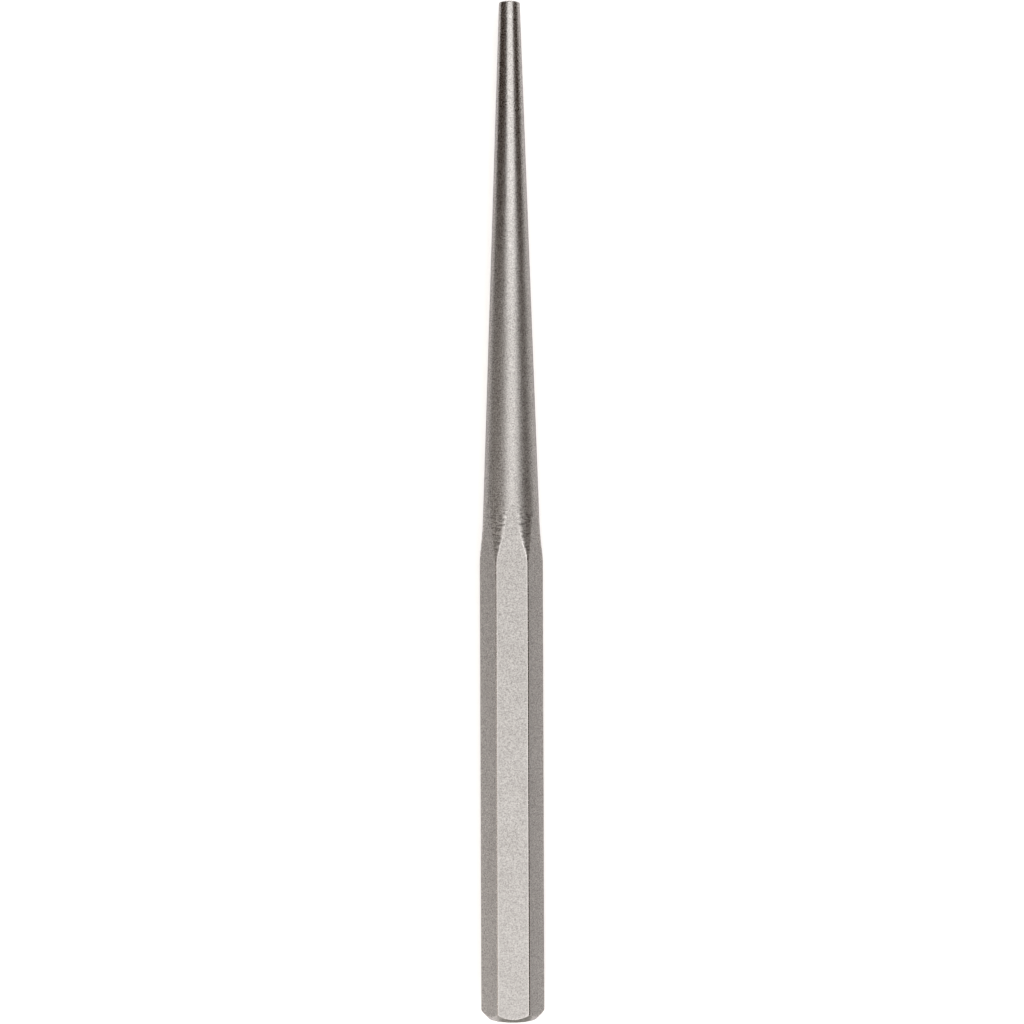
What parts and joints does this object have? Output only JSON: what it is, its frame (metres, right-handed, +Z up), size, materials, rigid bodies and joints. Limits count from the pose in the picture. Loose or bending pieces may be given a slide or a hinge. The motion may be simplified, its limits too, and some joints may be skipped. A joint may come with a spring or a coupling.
{
  "type": "line-up punch",
  "caption": "Hexagonal steel line-up punch: a long slender taper with a flat point draws holes into line, and a chamfered flat end takes the hammer.",
  "frame": {"origin": "on the surface that the punch lies on, under the middle of its box", "axes": "+Y along the punch towards its point, +Z up, square to the flat that it lies on"},
  "size_m": [0.0146, 0.2328, 0.0127],
  "materials": {
    "blasted_steel": "satin"
  },
  "bodies": {
    "root": {"punch": "blasted_steel"}
  },
  "joints": []
}
